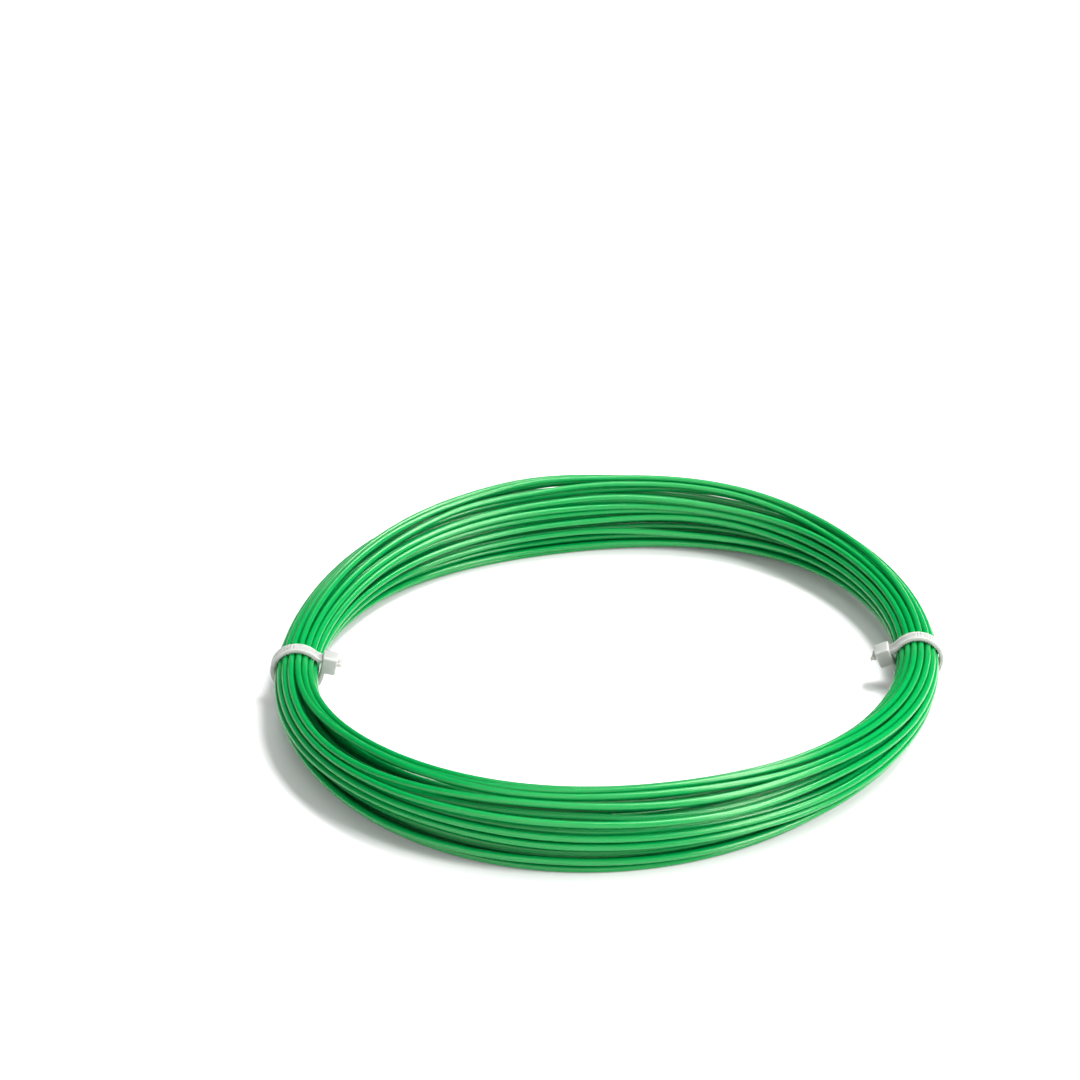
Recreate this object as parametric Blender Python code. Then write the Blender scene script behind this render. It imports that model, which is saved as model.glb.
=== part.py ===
"""A coil of racket string held by two small nylon cable ties.

Metres, +Z up. The coil lies flat on Z = 0, its middle is on the Z axis, and the
ties hold it near -X (left) and +X (right). The string is one solid of the outer
shape of its turns: narrow and round under each tie, fanned out between them.
Each tie is one moulding, a strap and its head, with the locking pawl as its own
piece on the axis of its living hinge.
"""

import math

import bmesh
import bpy
from mathutils import Matrix, Vector

# The coil
COIL_RADIUS = 0.0610        # from the coil's middle to the middle of the bundle
OVAL = 0.0019               # how far the coil is out of round
OVAL_ANGLE = 38.0           # the direction of its long way
BACK_CORNERS = 0.0015       # the back half is a little squarer than the front
BACK_CORNER_ANGLE = 37.0
NECK_RADIUS = 0.00405       # bundle under a tie, leaving the gap to the strap
NECK_HEIGHT = 0.0062        # middle of the bundle above the floor under a tie
NECK_HALF_LENGTH = 0.0020   # the bundle stays round this far each side of a tie
FAN_HALF_WIDTH = 0.0058     # half of the bundle's width midway between the ties
FAN_TOP_FRONT = 0.0157      # its top above the floor on the -Y side
FAN_TOP_BACK = 0.0167       # and on the +Y side
FAN_SPREAD = 1.8            # how late the bundle widens; 1 would be a plain sine
FAN_SQUARENESS = 2.3        # exponent of the fanned section's rounded outline
FLOOR_SINK = 0.0012         # how much of the fan's underside is flattened on the floor
COIL_STATIONS = 104
COIL_POINTS = 24

# Where the ties are, and how far each head points down, in degrees
LEFT_TIE_ANGLE = 184.3
LEFT_TIE_ROLL = 14.0
RIGHT_TIE_ANGLE = 0.0
RIGHT_TIE_ROLL = 23.0

# A tie. Its own X runs along the slot, out of the head, its own Y from the tail
# towards the root, and its own Z along the bundle.
STRAP_WIDTH = 0.0024
STRAP_THICKNESS = 0.00095
STRAP_INNER_RADIUS = 0.00435
TOOTH_PITCH = 0.0006
TOOTH_DEPTH = 0.00024
FIRST_TOOTH_ANGLE = 100.0   # round the bundle from the root
LEAVE_ANGLE = 30.0          # where the tail leaves the bundle, from its top
STUB_LENGTH = 0.00095       # how far the cut tail stands out of the head
HEAD_LENGTH = 0.0030        # along the slot
HEAD_WIDTH = 0.0035         # along the bundle
HEAD_BASE = 0.00438         # from the bundle's middle to the head's base
HEAD_EDGE = 0.00028
TAIL_LINE = -0.0034         # the tail's middle in the slot, measured towards the root
TAIL_WALL = 0.00085         # wall of the head beyond the tail
ROOT_WALL = 0.0005          # wall between the pawl and the root
PAWL_SPACE = 0.0012         # room for the pawl between the slot and that wall
PAWL_FLOOR = 0.00062        # wall between the pawl and the bundle
SLOT_CLEARANCE = 0.00015
ROOT_EMBED = 0.00035

# The pawl, placed from the corner of its pocket
PAWL_GAP = 0.00025
PAWL_LENGTH = 0.0019
PAWL_HALF_WIDTH = 0.00082
PAWL_POCKET_HALF_WIDTH = 0.00112
PAWL_THICKNESS = 0.00042
PAWL_TOOTH_DEPTH = 0.00022
PAWL_REST_SLOPE = 9.0       # degrees that the pawl leans towards the tail

STRING_GREEN = (0.0, 0.36, 0.075, 1.0)
NATURAL_NYLON = (0.83, 0.85, 0.80, 1.0)


def clear_scene():
    for item in list(bpy.data.objects):
        bpy.data.objects.remove(item, do_unlink=True)


def make_material(name, colour, roughness):
    material = bpy.data.materials.new(name)
    material.use_nodes = True
    shader = material.node_tree.nodes["Principled BSDF"]
    shader.inputs["Base Color"].default_value = colour
    shader.inputs["Roughness"].default_value = roughness
    shader.inputs["Metallic"].default_value = 0.0
    return material


def link_mesh(name, mesh_builder, material=None, sharp_angle=35.0):
    """Turn a bmesh into a linked object with outward faces and smooth shading."""
    bmesh.ops.recalc_face_normals(mesh_builder, faces=mesh_builder.faces)
    mesh = bpy.data.meshes.new(name)
    mesh_builder.to_mesh(mesh)
    mesh_builder.free()
    mesh.shade_smooth()
    mesh.set_sharp_from_angle(angle=math.radians(sharp_angle))
    item = bpy.data.objects.new(name, mesh)
    bpy.context.scene.collection.objects.link(item)
    if material:
        mesh.materials.append(material)
    return item


def loft(rings, closed):
    """Skin a list of rings of points; an open loft gets a cap at each end."""
    builder = bmesh.new()
    loops = [[builder.verts.new(point) for point in ring] for ring in rings]
    count = len(loops[0])
    pairs = list(zip(loops, loops[1:]))
    if closed:
        pairs.append((loops[-1], loops[0]))
    for first, second in pairs:
        for i in range(count):
            j = (i + 1) % count
            builder.faces.new((first[i], first[j], second[j], second[i]))
    if not closed:
        builder.faces.new(reversed(loops[0]))
        builder.faces.new(loops[-1])
    return builder


# ---------------------------------------------------------------- the string

def coil_radius(angle):
    """Distance from the coil's middle to the bundle's middle, angle in degrees."""
    oval = OVAL * math.cos(math.radians(2.0 * (angle - OVAL_ANGLE)))
    back = max(math.sin(math.radians(angle)), 0.0) ** 2
    corners = BACK_CORNERS * back * math.cos(math.radians(3.0 * (angle - BACK_CORNER_ANGLE)))
    return COIL_RADIUS + oval + corners


def bundle_middle(angle):
    """The bundle's middle at the height that it has under a tie."""
    turn = math.radians(angle)
    radius = coil_radius(angle)
    return Vector((radius * math.cos(turn), radius * math.sin(turn), NECK_HEIGHT))


def fan_amount(angle):
    """How far the bundle has fanned out: 0 under a tie, 1 midway between the ties."""
    turn = angle % 360.0
    if turn > LEFT_TIE_ANGLE:
        start, end = LEFT_TIE_ANGLE, RIGHT_TIE_ANGLE + 360.0
    else:
        start, end = RIGHT_TIE_ANGLE, LEFT_TIE_ANGLE
    neck = math.degrees(NECK_HALF_LENGTH / COIL_RADIUS)
    share = (turn - start - neck) / (end - start - 2.0 * neck)
    share = min(max(share, 0.0), 1.0)
    return math.sin(math.pi * share) ** FAN_SPREAD


def blend(start, end, amount):
    return start + (end - start) * amount


def coil_section(angle):
    """One closed outline of the bundle, square to the coil, flat on the floor."""
    amount = fan_amount(angle)
    fan_top = FAN_TOP_BACK if math.sin(math.radians(angle)) > 0.0 else FAN_TOP_FRONT
    half_width = blend(NECK_RADIUS, FAN_HALF_WIDTH, amount)
    top = blend(NECK_HEIGHT + NECK_RADIUS, fan_top, amount)
    bottom = blend(NECK_HEIGHT - NECK_RADIUS, -FLOOR_SINK, min(1.0, 1.5 * amount))
    power = 2.0 / blend(2.0, FAN_SQUARENESS, amount)
    middle, half_height = (top + bottom) / 2.0, (top - bottom) / 2.0
    turn = math.radians(angle)
    points = []
    for i in range(COIL_POINTS):
        step = 2.0 * math.pi * (i + 0.5) / COIL_POINTS
        across, up = math.cos(step), math.sin(step)
        across = math.copysign(abs(across) ** power, across)
        up = math.copysign(abs(up) ** power, up)
        radius = coil_radius(angle) + half_width * across
        height = max(middle + half_height * up, 0.0)
        points.append((radius * math.cos(turn), radius * math.sin(turn), height))
    return points


def make_string_coil(material):
    angles = [LEFT_TIE_ANGLE + 360.0 * i / COIL_STATIONS for i in range(COIL_STATIONS)]
    return link_mesh("string_coil", loft([coil_section(a) for a in angles], True), material)


# ------------------------------------------------------------------ the ties

def strap_path():
    """Middle line of the strap from its root to its cut end: (point, direction)."""
    radius = STRAP_INNER_RADIUS + STRAP_THICKNESS / 2.0
    root = TAIL_LINE + STRAP_THICKNESS / 2.0 + SLOT_CLEARANCE + PAWL_SPACE + ROOT_WALL
    path = [((radius, root - ROOT_EMBED), (0.0, 1.0), False)]

    half_tooth = math.degrees(TOOTH_PITCH / 2.0 / radius)
    leave = 270.0 + LEAVE_ANGLE
    steps = round(leave / half_tooth)
    for i in range(steps + 1):
        degrees = leave * i / steps
        turn = math.radians(degrees)
        point = (radius * math.cos(turn), radius * math.sin(turn))
        path.append((point, (-math.sin(turn), math.cos(turn)), degrees > FIRST_TOOTH_ANGLE))

    # A gentle reverse bend brings the tail onto the slot's line
    slope = math.radians(LEAVE_ANGLE)
    drop = radius * math.cos(slope) + TAIL_LINE
    bend = drop / (1.0 - math.cos(slope))
    end_x = radius * math.sin(slope) + bend * math.sin(slope)
    steps = round(bend * slope / (TOOTH_PITCH / 2.0))
    for i in range(1, steps + 1):
        left = slope * (1.0 - i / steps)
        point = (end_x - bend * math.sin(left), TAIL_LINE - bend * (1.0 - math.cos(left)))
        path.append((point, (math.cos(left), math.sin(left)), True))

    stub_end = HEAD_BASE + HEAD_LENGTH + STUB_LENGTH
    steps = round((stub_end - end_x) / (TOOTH_PITCH / 2.0))
    for i in range(1, steps + 1):
        x = end_x + (stub_end - end_x) * i / steps
        path.append(((x, TAIL_LINE), (1.0, 0.0), True))
    return path


def strap_section(point, direction, recess, skew):
    """The strap's outline there, with its toothed face towards the bundle."""
    outward = (direction[1], -direction[0])
    half_width = STRAP_WIDTH / 2.0
    back, face = STRAP_THICKNESS / 2.0, recess - STRAP_THICKNESS / 2.0
    outline = [(-half_width, back), (half_width, back), (half_width, face), (-half_width, face)]
    return [
        (
            point[0] + outward[0] * off + direction[0] * skew * across,
            point[1] + outward[1] * off + direction[1] * skew * across,
            across,
        )
        for across, off in outline
    ]


def strap_mesh(cut_skew):
    path = strap_path()
    rings = []
    for i, (point, direction, toothed) in enumerate(path):
        valley = toothed and i % 2 == 0
        recess = TOOTH_DEPTH if valley else 0.0
        skew = cut_skew if i == len(path) - 1 else 0.0
        rings.append(strap_section(point, direction, recess, skew))
    return loft(rings, False)


def box_mesh(low, high, edge=0.0):
    builder = bmesh.new()
    size = Vector(high) - Vector(low)
    middle = (Vector(high) + Vector(low)) / 2.0
    bmesh.ops.create_cube(builder, size=1.0)
    bmesh.ops.scale(builder, vec=size, verts=builder.verts)
    bmesh.ops.translate(builder, vec=middle, verts=builder.verts)
    if edge:
        bmesh.ops.bevel(
            builder, geom=builder.edges, offset=edge, segments=2, profile=0.5,
            affect="EDGES", clamp_overlap=True,
        )
    return builder


def add_boolean(item, operation, name, builder):
    """Cut or join another shape, kept as a hidden cutter under its object."""
    cutter = link_mesh(name, builder)
    cutter.hide_render = True
    cutter.display_type = "WIRE"
    cutter.parent = item
    modifier = item.modifiers.new(name, "BOOLEAN")
    modifier.operation = operation
    modifier.solver = "EXACT"
    modifier.object = cutter


def head_levels():
    """Heights in the tie's own Y: outer wall, slot, pawl pocket and root wall."""
    slot_low = TAIL_LINE - STRAP_THICKNESS / 2.0 - SLOT_CLEARANCE
    slot_high = TAIL_LINE + STRAP_THICKNESS / 2.0 + SLOT_CLEARANCE
    pocket = slot_high + PAWL_SPACE
    return slot_low - TAIL_WALL, slot_low, slot_high, pocket, pocket + ROOT_WALL


def tie_frame(angle, roll):
    """World matrix of a tie: origin in the bundle, X out along the head's slot."""
    dip = math.radians(roll)
    up = Vector((0.0, 0.0, 1.0))
    along = bundle_middle(angle + 0.5) - bundle_middle(angle - 0.5)
    inward = up.cross(along).normalized()
    along_slot = inward * math.cos(dip) - up * math.sin(dip)
    to_root = -inward * math.sin(dip) - up * math.cos(dip)
    along_bundle = up.cross(inward)
    axes = Matrix((along_slot, to_root, along_bundle)).transposed().to_4x4()
    return Matrix.Translation(bundle_middle(angle)) @ axes


def make_tie(name, angle, roll, cut_skew, material):
    outer, slot_low, slot_high, pocket, root = head_levels()
    top = HEAD_BASE + HEAD_LENGTH
    half_width = HEAD_WIDTH / 2.0
    head = box_mesh((HEAD_BASE, outer, -half_width), (top, root, half_width), HEAD_EDGE)
    tie = link_mesh(name, head, material)

    slot_half = STRAP_WIDTH / 2.0 + SLOT_CLEARANCE
    past = HEAD_LENGTH
    slot = box_mesh((HEAD_BASE - past, slot_low, -slot_half), (top + past, slot_high, slot_half))
    add_boolean(tie, "DIFFERENCE", name + "_slot", slot)
    pawl_room = box_mesh(
        (HEAD_BASE + PAWL_FLOOR, slot_low + SLOT_CLEARANCE, -PAWL_POCKET_HALF_WIDTH),
        (top + past, pocket, PAWL_POCKET_HALF_WIDTH),
    )
    add_boolean(tie, "DIFFERENCE", name + "_pawl_room", pawl_room)
    add_boolean(tie, "UNION", name + "_strap", strap_mesh(cut_skew))
    tie.matrix_world = tie_frame(angle, roll)
    return tie


def pawl_outline():
    """The pawl from the side, in its own frame: hinge at the origin, tip at +X."""
    half = PAWL_THICKNESS / 2.0
    tooth = PAWL_LENGTH / 3.0
    outline = [(0.0, half), (-half, 0.0), (0.0, -half)]
    for i in range(1, 3):
        outline.append(((i + 0.75) * tooth, -half - PAWL_TOOTH_DEPTH))
        outline.append(((i + 1.0) * tooth - 0.00002, -half + 0.00004))
    outline.append((PAWL_LENGTH, half))
    return outline


def pawl_hinge():
    """Where the pawl's living hinge is in the tie's own X and Y."""
    pocket = head_levels()[3]
    half = PAWL_THICKNESS / 2.0
    return HEAD_BASE + PAWL_FLOOR + PAWL_GAP + half, pocket - PAWL_GAP - half


def make_pawl(name, angle, roll, material):
    outline = pawl_outline()
    ends = [
        [(x, y, side * PAWL_HALF_WIDTH) for x, y in outline] for side in (-1.0, 1.0)
    ]
    pawl = link_mesh(name, loft(ends, False), material)
    x, y = pawl_hinge()
    lean = Matrix.Rotation(-math.radians(PAWL_REST_SLOPE), 4, "Z")
    pawl.matrix_world = tie_frame(angle, roll) @ Matrix.Translation((x, y, 0.0)) @ lean
    return pawl


def build():
    clear_scene()
    green = make_material("green_polyester", STRING_GREEN, 0.22)
    nylon = make_material("natural_nylon", NATURAL_NYLON, 0.38)
    pawl_nylon = make_material("natural_nylon_pawl", NATURAL_NYLON, 0.40)
    make_string_coil(green)
    make_tie("left_tie", LEFT_TIE_ANGLE, LEFT_TIE_ROLL, 0.0, nylon)
    make_pawl("left_tie_pawl", LEFT_TIE_ANGLE, LEFT_TIE_ROLL, pawl_nylon)
    make_tie("right_tie", RIGHT_TIE_ANGLE, RIGHT_TIE_ROLL, 0.28, nylon)
    make_pawl("right_tie_pawl", RIGHT_TIE_ANGLE, RIGHT_TIE_ROLL, pawl_nylon)


build()
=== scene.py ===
"""The looks of a coil of racket string held by two small nylon cable ties.

Metres, +Z up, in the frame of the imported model. The string is one 12.2 m length,
wound turn by turn: each turn has its place in a round packing under each tie and
fans out between them, and the turns are pushed apart until they only touch.
"""
import math

import bmesh
import bpy
import numpy as np
from mathutils import Matrix, Vector


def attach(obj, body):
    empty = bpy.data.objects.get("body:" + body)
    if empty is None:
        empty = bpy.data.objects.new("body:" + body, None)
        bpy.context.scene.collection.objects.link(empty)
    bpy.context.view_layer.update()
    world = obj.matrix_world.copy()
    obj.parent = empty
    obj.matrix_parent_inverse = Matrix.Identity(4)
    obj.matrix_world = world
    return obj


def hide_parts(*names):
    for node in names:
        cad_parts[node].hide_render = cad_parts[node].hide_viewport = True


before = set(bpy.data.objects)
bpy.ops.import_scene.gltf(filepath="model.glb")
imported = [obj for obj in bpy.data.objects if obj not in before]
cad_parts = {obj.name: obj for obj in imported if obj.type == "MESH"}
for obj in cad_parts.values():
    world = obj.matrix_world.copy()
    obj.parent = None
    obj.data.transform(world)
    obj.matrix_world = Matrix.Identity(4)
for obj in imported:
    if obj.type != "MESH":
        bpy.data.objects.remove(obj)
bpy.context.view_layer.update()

# The camera, at the photograph's viewing angle
CAMERA_ELEVATION = 31.8     # degrees above the floor, looking along +Y
CAMERA_DISTANCE = 0.486
CAMERA_LENS = 80.7          # mm, on a 36 mm sensor
CAMERA_SHIFT = (-0.0637, 0.1331)

# The coil, as the frame has it
COIL_RADIUS = 0.0610        # to the middle of the bundle
OVAL = 0.0019
OVAL_ANGLE = 38.0
BACK_CORNERS = 0.0015
BACK_CORNER_ANGLE = 37.0
NECK_HEIGHT = 0.0062        # middle of the bundle above the floor under a tie
LEFT_TIE_ANGLE = 184.3
RIGHT_TIE_ANGLE = 0.0

# The string
STRING_DIAMETER = 0.0013
STRING_RADIUS = STRING_DIAMETER / 2.0
TURNS = 32                  # passes through each tie
TUCK = 6.0                  # degrees that each end runs on past its tie
STATIONS = 180              # points for each turn
STRING_SIDES = 16
WRAP_STARTS = 11            # filaments wound round the string's core
WRAP_LEAD = 0.0066          # how far along the string one of them goes round once
WRAP_HEIGHT = 0.000009
BUNDLE_RADIUS = 0.00428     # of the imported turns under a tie
PACKED_RINGS = [(0.0, 1), (0.30, 4), (0.645, 10), (1.0, 17)]     # radius share, turns
GRIP_HALF_LENGTH = 0.0026   # the bundle stays packed this far each side of a tie
LAY_ANGLE = 17.0            # how far the packing turns from one tie to the other

# Where the turns spread to midway between the ties
FAN_HALF_WIDTH = 0.0058
FAN_TOP = {"front": 0.0152, "back": 0.0167}
FAN_SCATTER = 0.0008
FAN_FLOOR_SINK = 0.0012     # the outline goes this far below the floor, so it is flat there
FAN_FILL = 1.18             # how far the packing is stretched past the outline at first
FAN_SPACING = 1.3           # least distance between turns there, in diameters
LARGEST_GAP = 0.00100       # between neighbours' middles, as the camera sees them
GAP_SMOOTHING = 4           # passes along the string, over how far closing gaps moves it
SPREAD_RANGE = (1.2, 2.4)   # how late a turn leaves the packing; 1 is a plain sine
LEAN = 0.2                  # how far from midway a turn's widest place may be
LEAN_TO_LEFT = {"front": 0.15, "back": -0.3}    # the fans are widest nearer the left tie

# Where the turns part as seen from the camera: the middle of the opening and how far
# it runs each way, in degrees; its height across the bundle, -1 to 1; and how far
# each side of it moves.
OPENINGS = [
    (222.0, 36.0, 0.32, 0.0016),
    (234.0, 32.0, -0.70, 0.0010),
    (284.0, 26.0, 0.52, 0.0005),
    (312.0, 26.0, -0.26, 0.0007),
    (70.0, 28.0, -0.44, 0.0013),
    (66.0, 26.0, 0.34, 0.0011),
    (106.0, 18.0, 0.72, 0.0007),
]
OPENING_FADE = 0.0022       # how far from an opening its push has died away
OPENING_DEPTH = 0.0045      # the push fades from full to none over this depth

# How the turns are pushed apart
FAN_STEPS = 200
FAN_SQUARENESS = 2.3        # of the fan's outline; 2 is an ellipse
PUSH_STEPS = 300
SMOOTHER_STEPS = 200        # smoothed along the string in two passes, up to this step
SMOOTH_STEPS = 280          # and in one pass up to this one

SEED = 7

# The stage
FLOOR_HALF_WIDTH = 3.0
FLOOR_GAP = 0.00002         # under the string, so that the two don't share a plane
WORLD_LIGHT = 0.06

# The cable ties, in each tie's own axes: X along the slot and out of the head, Y towards
# the strap's root, Z along the bundle, with the origin in the bundle's middle
LEFT_TIE_ROLL = 14.0
RIGHT_TIE_ROLL = 23.0
RIGHT_CUT_SKEW = 0.28
STRAP_HALF_WIDTH = 0.0012
STRAP_THICKNESS = 0.00095
STRAP_INNER_RADIUS = 0.00435
STRAP_STEP = 0.000075
STRAP_CORNER = 0.00014      # its rounded outer edges, drawn with a chamfer between
STRAP_CHAMFER = 0.00004
STRAP_UNDER_EDGE = 0.00012
RIM_SHARE = 0.72            # of the half width, to the rim's inner edge
CHANNEL_SHARE = 0.60        # of the half width, to the channel's floor
TOOTH_PITCH = 0.0006
TOOTH_DEPTH = 0.00024
FIRST_TOOTH_ANGLE = 100.0   # round the bundle from the root
LAST_RIB_ANGLE = 262.0      # from here to the head the outer face is plain
LEAVE_ANGLE = 30.0          # where the tail leaves the bundle, from its top
CHANNEL_DEPTH = 0.00020     # of the outer face, between its two rims
RIB_HEIGHT = 0.00016        # of the ribs across the channel
STUB_LENGTH = 0.00095
STUB_ROUNDING = 0.00022
HEAD_LENGTH = 0.0030
HEAD_WIDTH = 0.0035
HEAD_BASE = 0.00438
HEAD_EDGE = 0.00034
HEAD_TAPER = 0.05           # how much narrower it gets from its base
TAIL_LINE = -0.0034
TAIL_WALL = 0.00085
ROOT_WALL = 0.0005
PAWL_SPACE = 0.0012
PAWL_FLOOR = 0.00062
SLOT_CLEARANCE = 0.00015
ROOT_EMBED = 0.00035
PAWL_GAP = 0.00025
PAWL_LENGTH = 0.0019
PAWL_HALF_WIDTH = 0.00082
PAWL_POCKET_HALF_WIDTH = 0.00112
PAWL_THICKNESS = 0.00042
PAWL_TOOTH_DEPTH = 0.00022
PAWL_REST_SLOPE = 9.0
POCKET_EDGE = 0.00012
PAWL_EDGE = 0.00003
SHARP_ANGLE = 38.0          # degrees between two faces of a moulding that makes an edge


# ---------------------------------------------------------------- camera

def make_camera():
    camera = bpy.data.objects.new("camera", bpy.data.cameras.new("camera"))
    bpy.context.scene.collection.objects.link(camera)
    tilt = math.radians(CAMERA_ELEVATION)
    camera.location = (0.0, -CAMERA_DISTANCE * math.cos(tilt), CAMERA_DISTANCE * math.sin(tilt))
    camera.rotation_euler = (math.pi / 2.0 - tilt, 0.0, 0.0)
    camera.data.lens = CAMERA_LENS
    camera.data.sensor_width = 36.0
    camera.data.shift_x, camera.data.shift_y = CAMERA_SHIFT
    camera.data.clip_start = 0.01
    bpy.context.scene.camera = camera


# ---------------------------------------------------------------- materials

def new_material(name):
    material = bpy.data.materials.new(name)
    material.use_nodes = True
    tree = material.node_tree
    return material, tree, tree.nodes["Principled BSDF"]


def add_node(tree, kind, **settings):
    node = tree.nodes.new(kind)
    for key, value in settings.items():
        setattr(node, key, value)
    return node


def math_node(tree, operation, first, second=None):
    """A Math node; each input is a number or another node's output."""
    node = add_node(tree, "ShaderNodeMath", operation=operation)
    for socket, value in zip(node.inputs, (first, second)):
        if value is None:
            continue
        if isinstance(value, (int, float)):
            socket.default_value = value
        else:
            tree.links.new(value, socket)
    return node.outputs[0]


def string_material():
    """Glossy green polyester over a fine helical wrap."""
    material, tree, shader = new_material("green_string")
    place = add_node(tree, "ShaderNodeUVMap", uv_map="strand")
    split = add_node(tree, "ShaderNodeSeparateXYZ")
    tree.links.new(place.outputs["UV"], split.inputs[0])
    along, around = split.outputs[0], split.outputs[1]

    turns = math_node(tree, "MULTIPLY", along, WRAP_STARTS / WRAP_LEAD)
    starts = math_node(tree, "MULTIPLY", around, float(WRAP_STARTS))
    phase = math_node(tree, "MULTIPLY", math_node(tree, "ADD", starts, turns), 2.0 * math.pi)
    wrap = math_node(tree, "SINE", phase)

    bump = add_node(tree, "ShaderNodeBump")
    bump.inputs["Strength"].default_value = 1.0
    bump.inputs["Distance"].default_value = WRAP_HEIGHT
    tree.links.new(wrap, bump.inputs["Height"])
    tree.links.new(bump.outputs[0], shader.inputs["Normal"])

    cloud = add_node(tree, "ShaderNodeTexNoise")
    cloud.inputs["Scale"].default_value = 90.0
    cloud.inputs["Detail"].default_value = 3.0
    colour = add_node(tree, "ShaderNodeMix", data_type="RGBA")
    colour.inputs["A"].default_value = (0.0, 0.180, 0.036, 1.0)
    colour.inputs["B"].default_value = (0.0, 0.225, 0.045, 1.0)
    tree.links.new(cloud.outputs["Fac"], colour.inputs["Factor"])
    tree.links.new(colour.outputs["Result"], shader.inputs["Base Color"])

    shader.inputs["Roughness"].default_value = 0.14
    shader.inputs["Specular IOR Level"].default_value = 0.4
    shader.inputs["Specular Tint"].default_value = (1.0, 1.0, 0.85, 1.0)
    shader.inputs["Subsurface Weight"].default_value = 0.2
    shader.inputs["Subsurface Radius"].default_value = (0.2, 1.0, 0.3)
    shader.inputs["Subsurface Scale"].default_value = 0.0004
    return material


def nylon_material():
    """Milky natural nylon, satin from the mould."""
    material, tree, shader = new_material("natural_nylon")
    grain = add_node(tree, "ShaderNodeTexNoise")
    grain.inputs["Scale"].default_value = 900.0
    grain.inputs["Detail"].default_value = 4.0
    bump = add_node(tree, "ShaderNodeBump")
    bump.inputs["Strength"].default_value = 0.25
    bump.inputs["Distance"].default_value = 0.00002
    tree.links.new(grain.outputs["Fac"], bump.inputs["Height"])
    tree.links.new(bump.outputs[0], shader.inputs["Normal"])
    colour = add_node(tree, "ShaderNodeMix", data_type="RGBA")
    colour.inputs["A"].default_value = (0.285, 0.293, 0.280, 1.0)
    colour.inputs["B"].default_value = (0.310, 0.318, 0.305, 1.0)
    tree.links.new(grain.outputs["Fac"], colour.inputs["Factor"])
    tree.links.new(colour.outputs["Result"], shader.inputs["Base Color"])
    shader.inputs["Roughness"].default_value = 0.36
    shader.inputs["IOR"].default_value = 1.53
    shader.inputs["Specular IOR Level"].default_value = 0.3
    shader.inputs["Subsurface Weight"].default_value = 1.0
    shader.inputs["Subsurface Radius"].default_value = (1.0, 1.0, 0.85)
    shader.inputs["Subsurface Scale"].default_value = 0.0015
    return material


# ---------------------------------------------------------------- the string

def middle_radius(degrees):
    """From the coil's middle to the bundle's middle."""
    oval = OVAL * np.cos(np.radians(2.0 * (degrees - OVAL_ANGLE)))
    back = np.maximum(np.sin(np.radians(degrees)), 0.0) ** 2
    corners = BACK_CORNERS * back * np.cos(np.radians(3.0 * (degrees - BACK_CORNER_ANGLE)))
    return COIL_RADIUS + oval + corners


def overlap_shift(places, present, gap):
    """How far each place (turn, station, 2) has to move to be `gap` from the others."""
    apart = places[:, None] - places[None]
    distance = np.linalg.norm(apart, axis=-1)
    both = present[:, None] & present[None]
    short = np.where(both, np.maximum(gap - distance, 0.0), 0.0)
    short[np.arange(len(places)), np.arange(len(places))] = 0.0
    push = 0.5 * short / np.maximum(distance, 1e-7)
    return (apart * push[..., None]).sum(axis=1)


def packed_slots():
    """Places of the turns under a tie, out and up from the bundle's middle.

    They are in winding order: ring by ring from the middle, each ring starting at the
    underside.
    """
    reach = BUNDLE_RADIUS - STRING_RADIUS
    rings = []
    for i, (share, count) in enumerate(PACKED_RINGS):
        clock = 2.0 * math.pi * (np.arange(count) + 0.3 * i) / count
        rings.append(share * reach * np.stack([-np.sin(clock), -np.cos(clock)], axis=1))
    return np.concatenate(rings)


def turned(places, degrees):
    turn = math.radians(degrees)
    spin = np.array([[math.cos(turn), math.sin(turn)], [-math.sin(turn), math.cos(turn)]])
    return places @ spin


def fan_places(start, end, top, random):
    """Where the turns are midway between two ties, out and up from the floor."""
    reach = BUNDLE_RADIUS - STRING_RADIUS
    half_width = FAN_HALF_WIDTH - STRING_RADIUS
    low, high = STRING_RADIUS - FAN_FLOOR_SINK, top - STRING_RADIUS
    places = FAN_FILL * (start + end) / 2.0 / reach
    places = places * (half_width, (high - low) / 2.0) + (0.0, (high + low) / 2.0)
    places = places + random.normal(0.0, FAN_SCATTER, places.shape)
    present = np.ones((len(places), 1), bool)
    for _ in range(FAN_STEPS):
        shift = overlap_shift(places[:, None], present, FAN_SPACING * STRING_DIAMETER)[:, 0]
        places = places + 0.5 * shift
        places = keep_in_fan(places, half_width, low, high)
    return places


def keep_in_fan(places, half_width, low, high):
    """Pull places into the fan's outline, a superellipse flattened on the floor."""
    middle, half_height = (high + low) / 2.0, (high - low) / 2.0
    scaled = (places - (0.0, middle)) / (half_width, half_height)
    size = (np.abs(scaled) ** FAN_SQUARENESS).sum(axis=-1, keepdims=True)
    size = size ** (1.0 / FAN_SQUARENESS)
    inside = scaled / np.maximum(size, 1.0) * (half_width, half_height) + (0.0, middle)
    return np.maximum(inside, (-1.0, STRING_RADIUS))


def smooth_along(values, passes):
    for _ in range(passes):
        inner = 0.25 * values[:-2] + 0.5 * values[1:-1] + 0.25 * values[2:]
        values = np.concatenate([values[:1], inner, values[-1:]])
    return values


def towards_camera(degrees):
    """The way to the camera from the bundle there, as (outward, up) of unit length."""
    turn = np.radians(degrees)
    tilt = math.radians(CAMERA_ELEVATION)
    radius = middle_radius(degrees)
    away_x = -radius * np.cos(turn)
    away_y = -CAMERA_DISTANCE * math.cos(tilt) - radius * np.sin(turn)
    outward = away_x * np.cos(turn) + away_y * np.sin(turn)
    up = np.full_like(outward, CAMERA_DISTANCE * math.sin(tilt) - FAN_TOP["front"] / 2.0)
    towards = np.stack([outward, up], axis=-1)
    return towards / np.linalg.norm(towards, axis=-1, keepdims=True)


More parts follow.
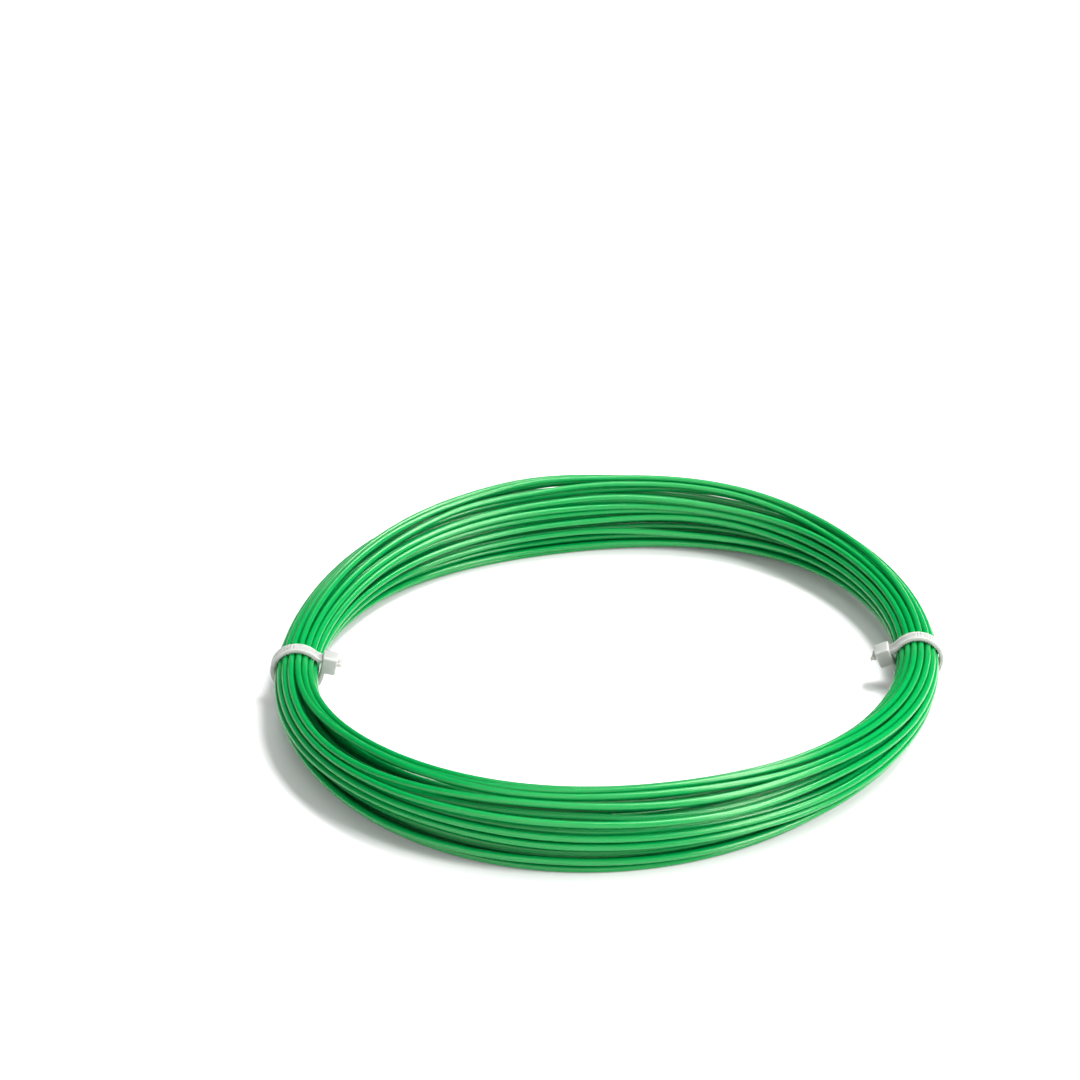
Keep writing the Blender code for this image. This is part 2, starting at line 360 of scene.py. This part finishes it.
def upwards_in_view(towards):
    """Square to the way to the camera, and upwards."""
    across = np.stack([-towards[..., 1], towards[..., 0]], axis=-1)
    return across * np.where(across[..., 1:] < 0.0, -1.0, 1.0)


def close_gaps(degrees, places):
    """Draw turns together where the camera would see straight through between them."""
    across = upwards_in_view(towards_camera(degrees))
    for station in range(STATIONS):
        rows = np.arange(station, len(places), STATIONS)
        direction = across[station]
        share = np.arange(1.0, len(rows)) / len(rows)
        for _ in range(30):
            position = places[rows] @ direction
            order = np.argsort(position)
            excess = np.maximum(np.diff(position[order]) - LARGEST_GAP, 0.0)
            if excess.max() < 1e-6:
                break
            shift = np.zeros(len(rows))
            shift[order[:-1]] += 0.5 * excess * share
            shift[order[1:]] -= 0.5 * excess * (1.0 - share)
            places[rows] += shift[:, None] * direction
    return places


def opening_shift(degrees, places):
    """How the openings part the turns, across the view from the camera.

    A turn stays on one side of an opening all the way, and the turns behind it, away
    from the camera, stay where they are.
    """
    shift = np.zeros_like(places)
    for angle, reach, height, amount in OPENINGS:
        towards = towards_camera(np.array(angle))
        across = upwards_in_view(towards)
        top = FAN_TOP["back" if angle < LEFT_TIE_ANGLE else "front"]
        for turn in range(TURNS):
            from_middle = degrees - (angle + 360.0 * turn)
            here = np.abs(from_middle) < reach
            if not here.any():
                continue
            place = places[np.argmin(np.abs(from_middle))] - (0.0, top / 2.0)
            distance = place @ across - height * top / 2.0
            nearness = np.clip(0.5 + place @ towards / OPENING_DEPTH, 0.0, 1.0)
            push = math.copysign(amount, distance) * nearness
            push *= math.exp(-abs(distance) / OPENING_FADE)
            window = np.cos(from_middle[here] / reach * math.pi / 2.0) ** 2
            shift[here] += (push * window)[:, None] * across
    return shift


def wind_string():
    """Points of the whole string, from its start inside the right tie's bundle."""
    random = np.random.default_rng(SEED)
    per_station = 360.0 / STATIONS
    first = RIGHT_TIE_ANGLE - TUCK
    last = 360.0 * (TURNS - 1) + LEFT_TIE_ANGLE + TUCK
    count = int((last - first) / per_station) + 1
    degrees = first + per_station * np.arange(count)

    slots = packed_slots()
    right, left = slots, turned(slots, LAY_ANGLE)
    lift = np.array((0.0, NECK_HEIGHT))
    fans = {
        "back": fan_places(right, left, FAN_TOP["back"], random),
        "front": fan_places(left[:-1], right[1:], FAN_TOP["front"], random),
    }
    fan_shape = {
        side: (
            random.uniform(*SPREAD_RANGE, len(fan)),
            LEAN_TO_LEFT[side] + random.uniform(-LEAN, LEAN, len(fan)),
        )
        for side, fan in fans.items()
    }

    target = np.zeros((count, 2))
    for i, angle in enumerate(degrees):
        turn, rest = divmod(angle, 360.0)
        turn = int(turn)
        if turn < 0:
            target[i] = right[0] + lift
            continue
        if rest <= LEFT_TIE_ANGLE:
            side, share = "back", rest / LEFT_TIE_ANGLE
            start, end = right[turn] + lift, left[turn] + lift
        elif turn < TURNS - 1:
            side, share = "front", (rest - LEFT_TIE_ANGLE) / (360.0 - LEFT_TIE_ANGLE)
            start, end = left[turn] + lift, right[turn + 1] + lift
        else:
            target[i] = left[turn] + lift
            continue
        spread, lean = fan_shape[side][0][turn], fan_shape[side][1][turn]
        leaning = share + lean * share * (1.0 - share)
        amount = math.sin(math.pi * leaning) ** spread
        ease = share * share * (3.0 - 2.0 * share)
        between = start + (end - start) * ease
        middle = (start + end) / 2.0
        target[i] = between + (fans[side][turn] - middle) * amount

    drawn = close_gaps(degrees, target.copy())
    target = target + smooth_along(drawn - target, GAP_SMOOTHING)
    target = target + opening_shift(degrees, target)

    # Push the turns apart, station by station, and smooth the moves along the string
    rows = TURNS
    present = np.zeros(rows * STATIONS, bool)
    present[:count] = True
    present = present.reshape(rows, STATIONS)
    rest = degrees % 360.0
    near_tie = np.minimum(
        np.abs((rest - RIGHT_TIE_ANGLE + 180.0) % 360.0 - 180.0), np.abs(rest - LEFT_TIE_ANGLE)
    )
    gripped = near_tie * math.pi / 180.0 * COIL_RADIUS < GRIP_HALF_LENGTH
    grip_reach = BUNDLE_RADIUS - STRING_RADIUS

    places = target.copy()
    for step in range(PUSH_STEPS):
        grid = np.zeros((rows * STATIONS, 2))
        grid[:count] = places
        shift = overlap_shift(grid.reshape(rows, STATIONS, 2), present, STRING_DIAMETER)
        places = places + 0.7 * shift.reshape(-1, 2)[:count]
        if step < SMOOTH_STEPS:
            passes = 2 if step < SMOOTHER_STEPS else 1
            places = target + smooth_along(places - target, passes)
        places[:, 1] = np.maximum(places[:, 1], STRING_RADIUS)
        offset = places - lift
        distance = np.linalg.norm(offset, axis=1, keepdims=True)
        held = lift + offset * np.minimum(1.0, grip_reach / np.maximum(distance, 1e-7))
        places = np.where(gripped[:, None], held, places)

    radius = middle_radius(rest) + places[:, 0]
    turn = np.radians(degrees)
    return np.stack([radius * np.cos(turn), radius * np.sin(turn), places[:, 1]], axis=1)


def tube_mesh(name, path, radius, sides):
    """A round tube along a nearly level path, with a UV map of metres and turns."""
    forward = np.gradient(path, axis=0)
    forward /= np.linalg.norm(forward, axis=1, keepdims=True)
    side = np.cross(forward, (0.0, 0.0, 1.0))
    side /= np.linalg.norm(side, axis=1, keepdims=True)
    over = np.cross(side, forward)
    around = 2.0 * math.pi * np.arange(sides) / sides
    ring = np.cos(around)[None, :, None] * side[:, None]
    ring = ring + np.sin(around)[None, :, None] * over[:, None]
    points = (path[:, None] + radius * ring).reshape(-1, 3)

    rows = len(path)
    i, j = np.meshgrid(np.arange(rows - 1), np.arange(sides), indexing="ij")
    following = (j + 1) % sides
    quads = np.stack(
        [i * sides + j, i * sides + following, (i + 1) * sides + following, (i + 1) * sides + j],
        axis=-1,
    ).reshape(-1, 4)
    along = np.concatenate([[0.0], np.cumsum(np.linalg.norm(np.diff(path, axis=0), axis=1))])
    corner_u = np.stack([along[i], along[i], along[i + 1], along[i + 1]], axis=-1)
    corner_v = np.stack([j, j + 1, j + 1, j], axis=-1) / sides
    uvs = np.stack([corner_u, corner_v], axis=-1).reshape(-1, 2)

    faces = [tuple(q) for q in quads.tolist()]
    faces.append(tuple(range(sides - 1, -1, -1)))
    faces.append(tuple(range((rows - 1) * sides, rows * sides)))
    mesh = bpy.data.meshes.new(name)
    mesh.from_pydata(points.tolist(), [], faces)
    layer = mesh.uv_layers.new(name="strand")
    values = np.zeros((len(mesh.loops), 2), np.float32)
    values[: len(uvs)] = uvs
    layer.data.foreach_set("uv", values.ravel())
    mesh.shade_smooth()
    mesh.update()
    return mesh


def make_string(material):
    path = wind_string()
    mesh = tube_mesh("string", path, STRING_RADIUS, STRING_SIDES)
    string = bpy.data.objects.new("string", mesh)
    bpy.context.scene.collection.objects.link(string)
    string.data.materials.append(material)
    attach(string, "coil")
    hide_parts("string_coil")


# ---------------------------------------------------------------- the ties

def head_levels():
    """Heights in the tie's own Y: outer wall, slot, pawl pocket and root wall."""
    slot_low = TAIL_LINE - STRAP_THICKNESS / 2.0 - SLOT_CLEARANCE
    slot_high = TAIL_LINE + STRAP_THICKNESS / 2.0 + SLOT_CLEARANCE
    pocket = slot_high + PAWL_SPACE
    return slot_low - TAIL_WALL, slot_low, slot_high, pocket, pocket + ROOT_WALL


def bundle_middle(degrees):
    radius = float(middle_radius(degrees))
    turn = math.radians(degrees)
    return Vector((radius * math.cos(turn), radius * math.sin(turn), NECK_HEIGHT))


def tie_frame(angle, roll):
    """World matrix of a tie's own axes."""
    dip = math.radians(roll)
    up = Vector((0.0, 0.0, 1.0))
    along = bundle_middle(angle + 0.5) - bundle_middle(angle - 0.5)
    inward = up.cross(along).normalized()
    along_slot = inward * math.cos(dip) - up * math.sin(dip)
    to_root = -inward * math.sin(dip) - up * math.cos(dip)
    along_bundle = up.cross(inward)
    axes = Matrix((along_slot, to_root, along_bundle)).transposed().to_4x4()
    return Matrix.Translation(bundle_middle(angle)) @ axes


def strap_line():
    """The strap's middle line from its root: points, directions, lengths, angles round."""
    radius = STRAP_INNER_RADIUS + STRAP_THICKNESS / 2.0
    root = head_levels()[4] - ROOT_EMBED
    slope = math.radians(LEAVE_ANGLE)
    leave = 1.5 * math.pi + slope
    bend = (radius * math.cos(slope) + TAIL_LINE) / (1.0 - math.cos(slope))
    bend_end = (radius + bend) * math.sin(slope)
    stub_end = HEAD_BASE + HEAD_LENGTH + STUB_LENGTH

    def steps(length):
        return np.linspace(0.0, 1.0, max(2, round(length / STRAP_STEP)) + 1)

    rise = steps(-root)[:-1]
    turn = leave * steps(radius * leave)
    left = slope * (1.0 - steps(bend * slope)[1:])
    tail = steps(stub_end - bend_end)[1:]
    parts = [
        (np.full_like(rise, radius), root * (1.0 - rise), np.full_like(rise, math.pi / 2.0)),
        (radius * np.cos(turn), radius * np.sin(turn), turn + math.pi / 2.0),
        (bend_end - bend * np.sin(left), TAIL_LINE - bend * (1.0 - np.cos(left)), left),
        (bend_end + (stub_end - bend_end) * tail, np.full_like(tail, TAIL_LINE), 0.0 * tail),
    ]
    x, y, heading = (np.concatenate(values) for values in zip(*parts))
    points = np.stack([x, y], axis=1)
    along = np.concatenate([[0.0], np.cumsum(np.linalg.norm(np.diff(points, axis=0), axis=1))])
    angles = np.degrees((along + root) / radius)
    return points, np.stack([np.cos(heading), np.sin(heading)], axis=1), along, angles


def ramp(value, start, end):
    share = np.clip((value - start) / (end - start), 0.0, 1.0)
    return share * share * (3.0 - 2.0 * share)


def strap_mesh(cut_skew):
    """The strap: rims and ribs on its outer face, teeth on its inner face."""
    points, directions, along, angles = strap_line()
    wave = 0.5 + 0.5 * np.cos(2.0 * math.pi * along / TOOTH_PITCH)
    toothed = ramp(angles, FIRST_TOOTH_ANGLE - 4.0, FIRST_TOOTH_ANGLE)
    ribbed = toothed * (1.0 - ramp(angles, LAST_RIB_ANGLE - 14.0, LAST_RIB_ANGLE))
    recess = TOOTH_DEPTH * ramp(wave, 0.15, 0.85) * toothed
    channel = CHANNEL_DEPTH * ramp(angles, 4.0, 14.0) - RIB_HEIGHT * ramp(wave, 0.3, 0.8) * ribbed
    to_end = along[-1] - along
    from_full = 1.0 - np.minimum(to_end / STUB_ROUNDING, 1.0)
    pinch = np.sqrt(np.clip(1.0 - from_full ** 2, 0.0, 1.0))
    skew = cut_skew * (1.0 - ramp(to_end, 0.0, 4.0 * STUB_ROUNDING))

    half, edge = STRAP_THICKNESS / 2.0, STRAP_HALF_WIDTH
    corner, chamfer, under = STRAP_CORNER, STRAP_CHAMFER, STRAP_UNDER_EDGE
    zero = np.zeros_like(along)
    outline = [
        (-edge, half - corner + zero), (-edge + chamfer, half - chamfer + zero),
        (-edge + corner, half + zero), (-RIM_SHARE * edge, half + zero),
        (-CHANNEL_SHARE * edge, half - channel), (CHANNEL_SHARE * edge, half - channel),
        (RIM_SHARE * edge, half + zero), (edge - corner, half + zero),
        (edge - chamfer, half - chamfer + zero), (edge, half - corner + zero),
        (edge, 0.7 * recess + under - half), (edge - under, recess - half),
        (under - edge, recess - half), (-edge, 0.7 * recess + under - half),
    ]
    shrink = 0.5 + 0.5 * pinch
    outward = np.stack([directions[:, 1], -directions[:, 0]], axis=1)
    rings = []
    for across, off in outline:
        place = points + outward * (off * shrink)[:, None] + directions * (skew * across)[:, None]
        rings.append(np.column_stack([place, np.full_like(along, across) * (0.75 + 0.25 * pinch)]))
    return loft(np.stack(rings, axis=1))


def loft(rings):
    """A closed skin through rings of points (ring, point, 3)."""
    count, sides = rings.shape[:2]
    builder = bmesh.new()
    rows = [[builder.verts.new(p) for p in ring] for ring in rings.tolist()]
    for below, above in zip(rows, rows[1:]):
        for i in range(sides):
            j = (i + 1) % sides
            builder.faces.new((below[i], below[j], above[j], above[i]))
    builder.faces.new(rows[0][::-1])
    builder.faces.new(rows[-1])
    bmesh.ops.recalc_face_normals(builder, faces=builder.faces)
    return builder


def box(low, high, edge=0.0, taper=0.0):
    """A box with rounded edges, narrower along Z at its +X end."""
    builder = bmesh.new()
    bmesh.ops.create_cube(builder, size=1.0)
    for vert in builder.verts:
        vert.co = [a + (b - a) * (c + 0.5) for a, b, c in zip(low, high, vert.co)]
    if taper:
        middle = (low[2] + high[2]) / 2.0
        for vert in builder.verts:
            if vert.co.x > (low[0] + high[0]) / 2.0:
                vert.co.z = middle + (vert.co.z - middle) * (1.0 - taper)
    if edge:
        bmesh.ops.bevel(
            builder, geom=builder.edges, offset=edge, segments=4, profile=0.5,
            affect="EDGES", clamp_overlap=True,
        )
    return builder


def link_mesh(name, builder):
    mesh = bpy.data.meshes.new(name)
    builder.to_mesh(mesh)
    builder.free()
    item = bpy.data.objects.new(name, mesh)
    bpy.context.scene.collection.objects.link(item)
    return item


def finish_piece(piece, material, body, node):
    """Apply the booleans, give the piece its material, put it under its body and hide its CAD
    node.
    """
    cutters = [modifier.object for modifier in piece.modifiers]
    bpy.context.view_layer.update()
    solid = piece.evaluated_get(bpy.context.evaluated_depsgraph_get())
    mesh = bpy.data.meshes.new_from_object(solid)
    piece.modifiers.clear()
    piece.data = mesh
    for cutter in cutters:
        bpy.data.objects.remove(cutter)
    mesh.shade_smooth()
    mesh.set_sharp_from_angle(angle=math.radians(SHARP_ANGLE))
    mesh.materials.clear()
    mesh.materials.append(material)
    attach(piece, body)
    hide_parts(node)


def combine(piece, operation, builder):
    """Add a boolean with what the builder holds."""
    other = link_mesh(piece.name + "_" + operation.lower(), builder)
    modifier = piece.modifiers.new(operation.lower(), "BOOLEAN")
    modifier.operation = operation
    modifier.solver = "EXACT"
    modifier.object = other


def make_tie(side, angle, roll, cut_skew, material):
    outer, slot_low, slot_high, pocket, root = head_levels()
    top = HEAD_BASE + HEAD_LENGTH
    wide = HEAD_WIDTH / 2.0
    past = HEAD_LENGTH
    head = box((HEAD_BASE, outer, -wide), (top, root, wide), HEAD_EDGE, HEAD_TAPER)
    tie = link_mesh(side + "_cable_tie", head)
    slot_half = STRAP_HALF_WIDTH + SLOT_CLEARANCE
    combine(tie, "DIFFERENCE", box(
        (HEAD_BASE - past, slot_low, -slot_half), (top + past, slot_high, slot_half),
    ))
    combine(tie, "DIFFERENCE", box(
        (HEAD_BASE + PAWL_FLOOR, slot_low + SLOT_CLEARANCE, -PAWL_POCKET_HALF_WIDTH),
        (top + past, pocket, PAWL_POCKET_HALF_WIDTH), POCKET_EDGE,
    ))
    combine(tie, "UNION", strap_mesh(cut_skew))
    finish_piece(tie, material, side + "_tie", side + "_tie")
    tie.data.transform(tie_frame(angle, roll))


def make_pawl(side, angle, roll, material):
    half = PAWL_THICKNESS / 2.0
    tooth = PAWL_LENGTH / 3.0
    outline = [(0.0, half), (-0.7 * half, 0.7 * half), (-half, 0.0), (-0.7 * half, -0.7 * half)]
    outline.append((0.0, -half))
    for i in range(1, 3):
        outline.append(((i + 0.75) * tooth, -half - PAWL_TOOTH_DEPTH))
        outline.append(((i + 1.0) * tooth - 0.00002, -half + 0.00004))
    outline.append((PAWL_LENGTH, half))
    sides = (-PAWL_HALF_WIDTH, PAWL_HALF_WIDTH)
    builder = loft(np.array([[(x, y, z) for x, y in outline] for z in sides]))
    bmesh.ops.bevel(
        builder, geom=builder.edges, offset=PAWL_EDGE, segments=2, profile=0.5,
        affect="EDGES", clamp_overlap=True,
    )
    pawl = link_mesh(side + "_locking_pawl", builder)
    x = HEAD_BASE + PAWL_FLOOR + PAWL_GAP + half
    y = head_levels()[3] - PAWL_GAP - half
    lean = Matrix.Rotation(-math.radians(PAWL_REST_SLOPE), 4, "Z")
    finish_piece(pawl, material, side + "_pawl", side + "_tie_pawl")
    pawl.data.transform(tie_frame(angle, roll) @ Matrix.Translation((x, y, 0.0)) @ lean)


# ---------------------------------------------------------------- stage

def make_floor():
    mesh = bpy.data.meshes.new("floor")
    half = FLOOR_HALF_WIDTH
    corners = [(-half, -half, 0.0), (half, -half, 0.0), (half, half, 0.0), (-half, half, 0.0)]
    mesh.from_pydata(corners, [], [(0, 1, 2, 3)])
    floor = bpy.data.objects.new("floor", mesh)
    floor.location.z = -FLOOR_GAP
    bpy.context.scene.collection.objects.link(floor)
    material, _, shader = new_material("floor_paper")
    shader.inputs["Base Color"].default_value = (0.72, 0.72, 0.72, 1.0)
    shader.inputs["Roughness"].default_value = 0.9
    mesh.materials.append(material)


def add_light(name, direction, distance, size, radiance):
    """A rectangular softbox in that direction from the coil, facing it."""
    data = bpy.data.lights.new(name, "AREA")
    data.shape = "RECTANGLE"
    data.size, data.size_y = size
    data.energy = radiance * math.pi * size[0] * size[1]
    light = bpy.data.objects.new(name, data)
    away = Vector(direction).normalized()
    light.location = away * distance
    light.rotation_euler = away.to_track_quat("Z", "Y").to_euler()
    bpy.context.scene.collection.objects.link(light)


def make_lights():
    add_light("key", (0.38, 0.20, 0.90), 0.9, (0.24, 0.36), 32.0)
    add_light("round_key", (0.38, 0.20, 0.90), 0.91, (0.90, 0.40), 6.5)
    add_light("top", (-0.10, 0.0, 1.0), 0.9, (1.6, 0.20), 3.0)
    add_light("right", (0.75, -0.45, 0.50), 1.1, (0.34, 0.70), 25.0)
    add_light("front", (-0.30, -0.85, 0.42), 1.2, (1.8, 0.8), 2.7)
    world = bpy.data.worlds.new("studio")
    world.use_nodes = True
    background = world.node_tree.nodes["Background"]
    background.inputs["Color"].default_value = (1.0, 1.0, 1.0, 1.0)
    background.inputs["Strength"].default_value = WORLD_LIGHT
    bpy.context.scene.world = world
    bpy.context.scene.view_settings.view_transform = "Standard"


make_camera()
make_string(string_material())
nylon = nylon_material()
for side, angle, roll, cut_skew in (
    ("left", LEFT_TIE_ANGLE, LEFT_TIE_ROLL, 0.0),
    ("right", RIGHT_TIE_ANGLE, RIGHT_TIE_ROLL, RIGHT_CUT_SKEW),
):
    make_tie(side, angle, roll, cut_skew, nylon)
    make_pawl(side, angle, roll, nylon)
make_floor()
make_lights()
